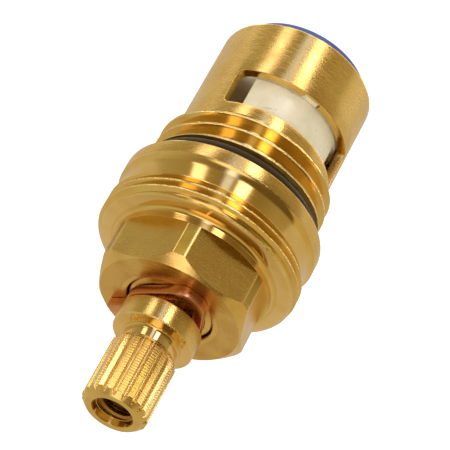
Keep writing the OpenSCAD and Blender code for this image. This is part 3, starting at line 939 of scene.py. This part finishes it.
@dataclass
class Spindle:
    """The splined brass spindle with its collar, guide, flange, ears and tongue."""

    splines: int = 20
    spline_turn: float = 4.2
    outer: float = 3.825
    tip: float = 51.65
    tip_edge: float = 51.05
    tip_r: float = 3.205
    neck: float = 3.2
    neck_step: float = 0.36
    run_out: float = 43.4
    run_out_h: float = 0.5
    run_out_curve: float = 0.8
    lead: float = 0.3
    collar_r: float = 4.725
    collar_low: float = 39.05
    collar_high: float = 41.6
    clip_r: float = 3.05
    guide_r: float = 5.0
    guide_top: float = 37.0
    hole_low: float = 42.15
    drill_point: float = 0.9
    mouth_r: float = 2.45
    mouth_h: float = 0.75
    mouth_cone: float = 0.2
    screw_turns: int = 5
    flange_r: float = 6.5
    flange_low: float = 13.57
    flange_h: float = 2.0
    ear_radii: Pair = (5.9, 8.0)
    ear_low: float = 14.4
    ear_inset: float = 0.15
    ear_half: float = 24.5
    tongue: Pair = (2.0, 5.4)
    tongue_h: float = 1.8
    sunk: float = 0.2
    axis_r: float = 0.02
    ring_heights: Pair = (25.15, 29.65)
    ring_groove_r: float = 3.73
    ring_groove_w: float = 1.86
    screw: Thread = Thread(1.058, 1.875, -0.5, 49.7, 30.0, 0.2)
    shell: Shell = field(default_factory=Shell)

    def spline_columns(self) -> tuple[np.ndarray, np.ndarray]:
        """Lays out the columns and gives the splines' radius at each.

        Returns:
            Angles round the axis and radii.
        """
        pitch = 360 / self.splines
        half = np.array([0, 0.8, 1.4, 2.2, 3.0, 3.6, 4.0, 4.4, 5.0, 6.0, 7.5])
        off = np.concatenate([-half[:0:-1], half, [9.0]])
        gap_angles, gap_depths = [0, 0.8, 1.4, 3.6, 4.0, 4.4], [0.4, 0.388, 0.34, 0.055, 0.02, 0.0]
        fall = np.interp(np.abs(off), gap_angles, gap_depths)
        turn = np.concatenate([k * pitch + off + self.spline_turn + pitch / 2 for k in range(self.splines)])
        return turn, np.tile(self.outer - fall, self.splines)

    def build(self, materials: list[Material]) -> Object:
        """Makes the spindle.

        Args:
            materials: Its materials, one for each member of SpindleSlot.

        Returns:
            The finished piece.
        """
        shell = self.shell
        turn, splines = self.spline_columns()
        self.shaft(turn)
        bevel_low = self.tip_edge - 0.15
        rise = np.linspace(self.run_out - self.lead, self.run_out + self.run_out_h + 0.5, 16)
        cone = np.clip((rise - self.run_out) / self.run_out_h, 0, 1) ** self.run_out_curve
        cone = self.neck + (self.outer - self.neck) * cone
        gap = splines < self.outer - 0.1
        cut = np.where(gap & np.roll(gap, -1), SpindleSlot.GAPS, SpindleSlot.HOBBED)
        shell.patch(turn, np.minimum(cone[:, None], splines[None, :]), rise, slot=cut)
        middle = np.linspace(rise[-1], bevel_low, 12)
        shell.patch(turn, np.tile(splines, (len(middle), 1)), middle, slot=cut)
        fall = np.linspace(bevel_low, self.tip, 10)
        slope = (self.outer - self.tip_r) / (self.tip - self.tip_edge)
        bevel = self.outer - np.clip(fall - self.tip_edge, 0, None) * slope
        chamfer = np.minimum(bevel[:, None], splines[None, :])
        shell.patch(turn, chamfer, fall)
        self.mouth(turn, chamfer[-1])
        self.drive()
        return seat(shell.make("spindle_machined", materials), "turning_spindle", "spindle")

    def shaft(self, turn: np.ndarray) -> None:
        """Adds the turned part from the flange to the neck.

        Args:
            turn: Angles of the columns.
        """
        shell, low, high = self.shell, self.flange_low, self.flange_low + self.flange_h
        corners = [(self.axis_r, low), (self.flange_r, low), (self.flange_r, high), (self.guide_r, high)]
        radii = [0, 0.1, 0.1, 0.1]
        for z in self.ring_heights:
            half = self.ring_groove_w / 2
            corners += [(self.guide_r, z - half), (self.ring_groove_r, z - half),
                        (self.ring_groove_r, z + half), (self.guide_r, z + half)]
            radii += [0.08] * 4
        step, edge = self.neck + self.neck_step, self.collar_high
        rim_low, rim_high = (self.collar_r, edge - 0.12), (self.collar_r - 0.13, edge + 0.01)
        fillet_start, fillet_end = (step - 0.03, edge + 0.2), (self.neck, edge + 0.62)
        corners += [(self.guide_r, self.guide_top - 0.32), (self.guide_r - 0.14, self.guide_top - 0.18),
                    (self.guide_r - 0.72, self.guide_top), (self.clip_r, self.guide_top),
                    (self.clip_r, self.collar_low), (self.collar_r, self.collar_low), rim_low]
        radii += [0.05, 0.05, 0.05, 0.1, 0.1, 0.08, 0]
        shell.lathe(turn, rounded(corners, radii))
        shell.lathe(turn, [rim_low, rim_high], SpindleSlot.BURRED)
        shell.lathe(turn, rounded([rim_high, (step, edge + 0.16), fillet_start], [0, 0.02, 0]),
                    SpindleSlot.FINE)
        shell.lathe(turn, swept(fillet_start, (self.neck + 0.03, edge + 0.26), fillet_end),
                    SpindleSlot.BRIGHT)
        shell.lathe(turn, [fillet_end, (self.neck, self.run_out - self.lead)], SpindleSlot.FINE)

    def mouth(self, turn: np.ndarray, edge: np.ndarray) -> None:
        """Adds the tip's face and the screw hole with its plain mouth.

        Args:
            turn: Angles of the columns.
            edge: Radius of the tip's outer edge, per column.
        """
        shell, floor, drill = self.shell, self.tip - self.mouth_h, self.screw.crest
        wide, thread_top = drill + 0.3, floor - 0.02
        # Six rows of faces make the tip's face and its rounded edge, and the other seven the plain mouth
        slots = np.array([[SpindleSlot.SATIN]] * 6 + [[SpindleSlot.BRIGHT]] * 7)
        shell.lathe(turn, rounded([(edge, self.tip), (self.mouth_r, self.tip),
                                   (self.mouth_r - self.mouth_cone, floor), (wide, thread_top)],
                                  [0, 0.08, 0.02, 0]), slots)
        coarse, bottom = turn[::4], floor - self.screw_turns * self.screw.pitch
        angles, heights, shift, crests = self.screw.grid(coarse, bottom, thread_top)
        radius = np.maximum(self.screw.radius(angles, heights), wide - (thread_top - heights) * 3)
        shell.patch(angles, radius, heights, slot=np.where(crests, SpindleSlot.BURRED, SpindleSlot.TAPPED),
                    shift=shift)
        shell.lathe(coarse, [(drill + 0.1, bottom), (drill, bottom - 0.2), (drill, self.hole_low),
                             (self.axis_r, self.hole_low - self.drill_point)], SpindleSlot.TAPPED)

    def drive(self) -> None:
        """Adds the two stop ears and the tongue below the flange."""
        top = self.flange_low + self.flange_h - self.ear_inset
        for middle in (-45, 135):
            self.shell.arc(middle, self.ear_half, self.ear_radii, (self.ear_low, top), 10)
        wide, long = self.tongue
        ends = [(-wide, -long), (wide, -long), (wide, long), (-wide, long)]
        levels = self.flange_low - self.tongue_h, self.flange_low + self.sunk
        self.shell.block([(x, y, z) for z in levels for x, y in ends])


@dataclass
class Clip:
    """The spring clip of square strip, bent round the spindle's groove."""

    ring: float = 3.62
    spread: float = 0.5
    spread_from: float = 66.0
    spread_over: float = 44.0
    strip: float = 1.14
    height: float = 1.2
    low: float = 37.17
    lobe: float = 1.15
    lobe_centre: float = 4.52
    lobe_half: float = 6.0
    end_length: float = 2.97
    end_bend: float = 0.75
    end_gap: float = 9.0
    end_angle: float = 132.0
    end_slant: float = 20.0
    turn: float = 0.5
    edge: float = 0.09

    def path(self) -> np.ndarray:
        """Gives the strip's centre line, seen from above, from the right end to the left one.

        Returns:
            Points of shape (count, 2).
        """
        side = self.lobe_half + np.degrees(np.arccos((self.ring - self.lobe) / self.lobe_centre))
        around = np.linspace(self.end_angle - self.end_gap, side, 30)
        wide = np.clip((around - self.spread_from) / self.spread_over, 0, 1)
        radius = self.ring + self.spread * wide**2 * (3 - 2 * wide)
        root = (self.ring + self.spread) * self.ray(self.end_angle)
        away = self.ray(self.end_angle + self.end_slant)
        spots = [root + away * t for t in np.linspace(self.end_length, self.end_bend, 5)]
        spots += curve(root + away * self.end_bend, root, radius[0] * self.ray(around[0]), 8)[1:]
        spots += [r * self.ray(a) for r, a in zip(radius[1:], around[1:])]
        bend = self.lobe_centre * self.ray(self.lobe_half)
        spots += [bend + self.lobe * self.ray(a) for a in np.linspace(side, self.lobe_half, 16)]
        reach = self.lobe_centre + self.lobe
        spots += [reach * self.ray(a) for a in np.linspace(self.lobe_half, 0, 6)[1:]]
        half = np.array(spots)
        whole = np.concatenate([half, (half * [-1, 1])[-2::-1]])
        lean = np.radians(self.turn)
        return whole @ np.array([[np.cos(lean), np.sin(lean)], [-np.sin(lean), np.cos(lean)]])

    @staticmethod
    def ray(angle: float) -> np.ndarray:
        """Gives the direction of an angle round the axis, seen from above."""
        return np.array([np.sin(np.radians(angle)), -np.cos(np.radians(angle))])

    def build(self, material: Material) -> Object:
        """Makes the clip.

        Args:
            material: Its metal.

        Returns:
            The finished piece.
        """
        path = self.path()
        along = np.gradient(path, axis=0)
        along /= np.linalg.norm(along, axis=1)[:, None]
        side = np.stack([along[:, 1], -along[:, 0]], 1)
        bends = np.radians(np.linspace(0, 90, 4))
        wide, tall = self.strip / 2 - self.edge, self.height / 2 - self.edge
        ring = np.array([(x * wide + self.edge * np.cos(b + start), z * tall + self.edge * np.sin(b + start))
                         for x, z, start in ((1, 1, 0), (-1, 1, np.pi / 2), (-1, -1, np.pi),
                                             (1, -1, -np.pi / 2)) for b in bends])
        shell, count = Shell(), len(ring)
        shell.points = [np.column_stack([p + s * ring[:, :1], self.low + self.height / 2 + ring[:, 1]])
                        for p, s in zip(path, side)]
        steps = [(i * count, k, (k + 1) % count) for i in range(len(path) - 1) for k in range(count)]
        shell.faces = [(i + k, i + j, i + count + j, i + count + k) for i, k, j in steps]
        shell.faces += [tuple(range(count)), tuple(range(count * (len(path) - 1), count * len(path)))]
        shell.slots = [0] * len(shell.faces)
        made = shell.make("spindle_clip_bent", [material])
        return seat(made, "turning_spindle", "spindle_clip")


@dataclass
class Seal:
    """The blue seal with its support ring."""

    outer: float = 8.03
    inner: float = 5.53
    recess: float = 6.23
    recess_low: float = 2.1
    top: float = 4.6
    bead: float = 0.3
    edge: float = 0.1
    play: float = 0.03
    seam: float = 2.5

    def build(self, rubber: Material, plastic: Material) -> list[Object]:
        """Makes the seal and its support ring.

        Args:
            rubber: The seal's material.
            plastic: The support ring's material.

        Returns:
            The two pieces.
        """
        shell, edge, seam = Shell(), self.edge, self.seam
        corners = [(self.outer, seam), (self.outer, self.top), (self.recess, self.top),
                   (self.recess, self.recess_low), (self.inner, self.recess_low), (self.inner, 0),
                   (self.outer, 0), (self.outer, seam)]
        shell.lathe(ROUND_TURN, rounded(corners, [0, edge, edge, 0, edge / 2, self.bead, self.bead, 0],
                                        steps=8)[::-1])
        seal = seat(shell.make("seal_moulded", [rubber]), "housing", "seal")
        low, high, out = self.recess_low + self.play, self.top - self.play, self.recess - self.play
        shell = Shell()
        corners = [(out, seam), (out, high), (self.inner, high), (self.inner, low), (out, low), (out, seam)]
        shell.lathe(ROUND_TURN, rounded(corners, [0, edge, edge, edge, edge, 0])[::-1])
        ring = seat(shell.make("support_ring_moulded", [plastic]), "housing", "seal_support_ring")
        return [seal, ring]


@dataclass
class Lapped:
    """A flat inner piece that keeps its CAD shape and gets its edges rounded."""

    name: str
    node: str
    body: str
    slot: str
    edge: float
    flat_angle: float = 1.0
    corner_angle: float = 40.0
    sharp: float = 50.0

    def build(self, source: Object, material: Material) -> Object:
        """Makes the piece.

        Args:
            source: The CAD node.
            material: The piece's material.

        Returns:
            The finished piece.
        """
        mesh = bpy.data.meshes.new(self.name)
        work = bmesh.new()
        work.from_mesh(source.data)
        work.transform(source.matrix_world)
        bmesh.ops.remove_doubles(work, verts=work.verts, dist=WELD * MM)
        bmesh.ops.dissolve_limit(work, angle_limit=np.radians(self.flat_angle), verts=work.verts,
                                 edges=work.edges)
        corners = [e for e in work.edges
                   if len(e.link_faces) == 2 and e.calc_face_angle() > np.radians(self.corner_angle)]
        bmesh.ops.bevel(work, geom=corners, offset=self.edge * MM, segments=3, profile=0.5, affect="EDGES",
                        clamp_overlap=True)
        made = finished(work, mesh, self.name, [material], self.sharp)
        return seat(made, self.body, self.node)


@dataclass(frozen=True)
class Lamp:
    """A large soft lamp that shines on the middle of the object and isn't mirrored in it."""

    name: str
    spot: Triple
    size: float
    watts: float

    def build(self, target: Triple) -> None:
        """Hangs the lamp.

        Args:
            target: The point that it shines at.
        """
        data = bpy.data.lights.new(self.name, "AREA")
        data.shape, data.size, data.energy = "DISK", self.size * MM, self.watts
        made = bpy.data.objects.new(self.name, data)
        made.location = Vector(self.spot) * MM
        made.rotation_mode = "QUATERNION"
        made.rotation_quaternion = (Vector(target) * MM - made.location).to_track_quat("-Z", "Y")
        made.visible_glossy = False
        bpy.context.scene.collection.objects.link(made)


@dataclass
class Studio:
    """Camera, floor, lamps and surroundings."""

    camera_mm: Triple = (72.371, -229.531, 183.901)
    camera_turn: tuple[float, float, float, float] = (0.3485306, 0.0459922, 0.4701064, -0.8095746)
    lens_mm: float = 207.295
    sensor_mm: float = 36.0
    clip_m: Pair = (0.02, 10.0)
    front: float = 17.5
    middle: Triple = (0.0, 0.0, 25.0)
    floor_half: float = 600.0
    paper_glow: float = 0.72
    soft_light: float = 0.45
    ceiling_lamp: Triple = (0.32, -0.43, 0.845)
    room_way: Triple = (0.3348, -0.7693, 0.5512)
    panel: str = "#F8F0FF"
    window: str = "#B9C4FF"
    wall: str = "#D3CABD"
    lamps: tuple[Lamp, Lamp] = (Lamp("key", (-120, -300, 230), 250, 0.62),
                                Lamp("fill", (300, -120, 160), 300, 0.6))

    def camera(self) -> None:
        """Puts the camera where the photograph was taken from."""
        data = bpy.data.cameras.new("camera")
        data.lens, data.sensor_width = self.lens_mm, self.sensor_mm
        data.clip_start, data.clip_end = self.clip_m
        made = bpy.data.objects.new("camera", data)
        made.location = Vector(self.camera_mm) * MM
        made.rotation_mode = "QUATERNION"
        made.rotation_quaternion = Quaternion(self.camera_turn)
        bpy.context.scene.collection.objects.link(made)
        bpy.context.scene.camera = made

    def floor(self) -> None:
        """Lays a white paper floor, which the camera sees as white with the object's soft shadow on it."""
        mesh = bpy.data.meshes.new("floor")
        half = self.floor_half * MM
        corners = [(-half, -half, 0), (half, -half, 0), (half, half, 0), (-half, half, 0)]
        mesh.from_pydata(corners, [], [(0, 1, 2, 3)])
        made = bpy.data.objects.new("floor", mesh)
        bpy.context.scene.collection.objects.link(made)
        # The metal mirrors the surroundings below, which show the white paper in the light of the studio
        made.visible_glossy = False
        material, tree = new_material("matt_white_paper", "#E6E6E6")
        paper = add_node(tree, "BsdfDiffuse", linear("#E6E6E6"))
        glow = add_node(tree, "Emission", linear("#FFFFFF"), self.paper_glow)
        both = add_node(tree, "AddShader", paper, glow)
        seen = add_node(tree, "LightPath").outputs["Is Camera Ray"]
        shown = add_node(tree, "MixShader", seen, paper, both)
        add_node(tree, "OutputMaterial", shown)
        mesh.materials.append(material)

    @staticmethod
    def places(*colours: tuple) -> list[tuple]:
        """Turns azimuths with a colour and its strength into the stops of a ramp that goes all round."""
        return [(azimuth / 360 + 0.5, linear(*colour)) for azimuth, *colour in colours]

    def room(self, tree: NodeTree, way: NodeSocket, share: Node, height: NodeSocket) -> NodeSocket:
        """Colours the room in front of the object.

        Args:
            tree: The world's tree.
            way: The direction looked in.
            share: Its azimuth, as a place on a ramp.
            height: Its upward part.

        Returns:
            The room's colour.
        """
        # Low down are two lit panels, a bright window, and dim walls that are paler at the right
        dark, black, side = "#94835F", "#6E5D3C", "#CCBC98"
        near = add_node(tree, "ValToRGB", share, stops=self.places(
            (-74, self.wall), (-72, "#B0A282"), (-52, "#AB9C79"), (-31, dark), (-15, dark),
            (-12.5, self.panel, 3.9), (-0.5, self.panel, 3.9), (1, dark), (5, dark), (8, self.window, 1.9),
            (15, self.window, 1.9), (18, dark), (36, "#A49576"), (39, self.panel, 2.3), (51, self.panel, 2.3),
            (54, "#A39470"), (59, "#A69C78"), (69, "#A89E7C"), (89, "#B2AC94"), (104, "#CEC8B8")))
        # Above the panels the front is nearly black, where the camera and its tripod stand
        upper = add_node(tree, "ValToRGB", share, stops=self.places(
            (-73, side), (-69, black), (4, black), (8, self.window, 3.2), (14, self.window, 3.2),
            (19, "#7A6A4C"), (60, "#A89C80"), (95, "#CCC6B4")))
        # The ceiling is pale and has one lamp in front, and the floor of the room is brightly lit
        lamp_way = add_node(tree, "VectorMath", way, self.ceiling_lamp, operation="DOT_PRODUCT")
        lamp = add_node(tree, "MapRange", lamp_way.outputs["Value"], 0.94, 0.985, 0.0, 1.0)
        ground, wall_top, ceiling = (
            add_node(tree, "MapRange", height, *reach, interpolation_type="SMOOTHSTEP")
            for reach in ((-0.85, -0.74, 1.0, 0.0), (-0.12, 0.05, 0.0, 1.0), (0.82, 0.95, 0.0, 1.0)))
        colour = near.outputs[0]
        for cover, over in ((ground, linear("#FFF6C8", 1.8)), (wall_top, upper),
                            (ceiling, linear("#D3C7A8")), (lamp, linear("#FFF2F0", 1.6))):
            tints = {MIX_FIRST: colour, MIX_SECOND: over}
            colour = add_node(tree, "Mix", cover, at=tints, data_type="RGBA").outputs[MIX_COLOUR]
        return colour

    def world(self) -> None:
        """Surrounds the object with white paper behind and below it and a dim room in front."""
        world = bpy.data.worlds.new("studio")
        bpy.context.scene.world = world
        world.use_nodes = True
        world.cycles.sampling_method = "NONE"
        tree = world.node_tree
        tree.nodes.clear()
        way = add_node(tree, "TexCoord").outputs["Generated"]
        x, y, z = add_node(tree, "SeparateXYZ", way).outputs
        back = add_node(tree, "Math", y, -1.0, operation="MULTIPLY")
        angle = add_node(tree, "Math", x, back, operation="ARCTAN2")
        turns = add_node(tree, "Math", angle, 1 / (2 * np.pi), 1.5 - self.front / 360,
                         operation="MULTIPLY_ADD")
        share = add_node(tree, "Math", turns, operation="FRACT")
        # The paper behind and below, brightest where it lies nearest to the lamps
        level = add_node(tree, "Math", z, 0.5, 0.5, operation="MULTIPLY_ADD")
        wall, white = linear(self.wall), linear("#FFFFFF")
        paper = add_node(tree, "ValToRGB", level, stops=[
            (0.0, linear("#FFF8EC", 2.2)), (0.07, linear("#FFF6E8", 1.9)), (0.12, linear("#FFF6E8", 0.95)),
            (0.2, wall), (0.5, wall), (0.78, linear("#CCC0A8")), (0.95, linear("#B4A684"))])
        down = add_node(tree, "Math", z, 0.0, operation="MINIMUM")
        spread = add_node(tree, "CombineXYZ", x, y, down)
        facing = add_node(tree, "VectorMath", spread, self.room_way, operation="DOT_PRODUCT")
        behind = add_node(tree, "MapRange", facing.outputs["Value"], -0.33, -0.27, 1.0, 0.0,
                          interpolation_type="SMOOTHSTEP")
        # Two pools of light lie on the paper at the left and right of the object
        steep = add_node(tree, "Math", z, -1.0, operation="MULTIPLY")
        none, full = "#000000", "#FFFFFF"
        wide = add_node(tree, "ValToRGB", share, stops=self.places(
            (-137, none), (-132, full), (-116, full), (-110, none), (95, none), (100, full), (117, full),
            (122, none)))
        deep = add_node(tree, "MapRange", steep, 0.70, 0.76, 0.0, 1.0)
        pool = add_node(tree, "Math", wide, deep, operation="MULTIPLY")
        colour = self.room(tree, way, share, z)
        for cover, over in ((behind, paper), (pool, linear("#FFF4F4", 5.0))):
            tints = {MIX_FIRST: colour, MIX_SECOND: over}
            colour = add_node(tree, "Mix", cover, at=tints, data_type="RGBA").outputs[MIX_COLOUR]
        # Mirrors see these colours, the camera sees white, and all other light is soft and even
        ray = add_node(tree, "LightPath").outputs
        glossy = add_node(tree, "Background", colour, 1.0)
        soft = add_node(tree, "Background", white, self.soft_light)
        plain = add_node(tree, "Background", white, 1.0)
        lit = add_node(tree, "MixShader", ray["Is Glossy Ray"], soft, glossy)
        add_node(tree, "OutputWorld", add_node(tree, "MixShader", ray["Is Camera Ray"], lit, plain))

    def build(self) -> None:
        """Sets up the whole studio."""
        self.camera()
        self.floor()
        self.world()
        for lamp in self.lamps:
            lamp.build(self.middle)
        bpy.context.scene.view_settings.view_transform = "Standard"


def main() -> None:
    """Builds the studio and every piece in turn."""
    logging.basicConfig(level=logging.INFO, format="%(name)s: %(message)s")
    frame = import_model()
    Studio().build()
    satin, bright, burred, fine = (finish.build() for finish in (
        Finishes.satin_brass, Finishes.bright_brass, Finishes.burred_brass, Finishes.fine_brass))
    black, blue = Finishes.black_rubber.build(), Finishes.blue_rubber.build()
    ceramic, plastic = Finishes.ceramic.build(), Finishes.plastic.build()
    Body().build([satin, bright, burred, Finishes.milled_brass.build(), Finishes.bar_skin.build(),
                  Finishes.faced_brass.build(), fine, Finishes.painted_groove_shade.build()])
    Ring("body_ring_moulded", "body_ring", "housing", 10.0175, 1.95, 21.945).build(black)
    Spindle().build([satin, bright, burred, Finishes.hobbed_brass.build(), Finishes.tapped_brass.build(),
                     fine, Finishes.pale_gap_brass.build()])
    Clip().build(Finishes.strip_bronze.build())
    for name, node, height in (("upper_ring_moulded", "spindle_ring_upper", 29.65),
                               ("lower_ring_moulded", "spindle_ring_lower", 25.15)):
        Ring(name, node, "turning_spindle", 4.44, 1.36, height).build(black)
    Seal().build(blue, plastic)
    for piece, material in (
            (Lapped("moving_disc_fired", "moving_disc", "turning_disc", "disc_ceramic", 0.22), ceramic),
            (Lapped("fixed_disc_fired", "fixed_disc", "housing", "disc_ceramic", 0.1), ceramic),
            (Lapped("friction_washer_moulded", "friction_washer", "housing", "white_plastic", 0.08),
             plastic)):
        piece.build(frame["nodes"][piece.node], material)


if __name__ == "__main__":
    main()
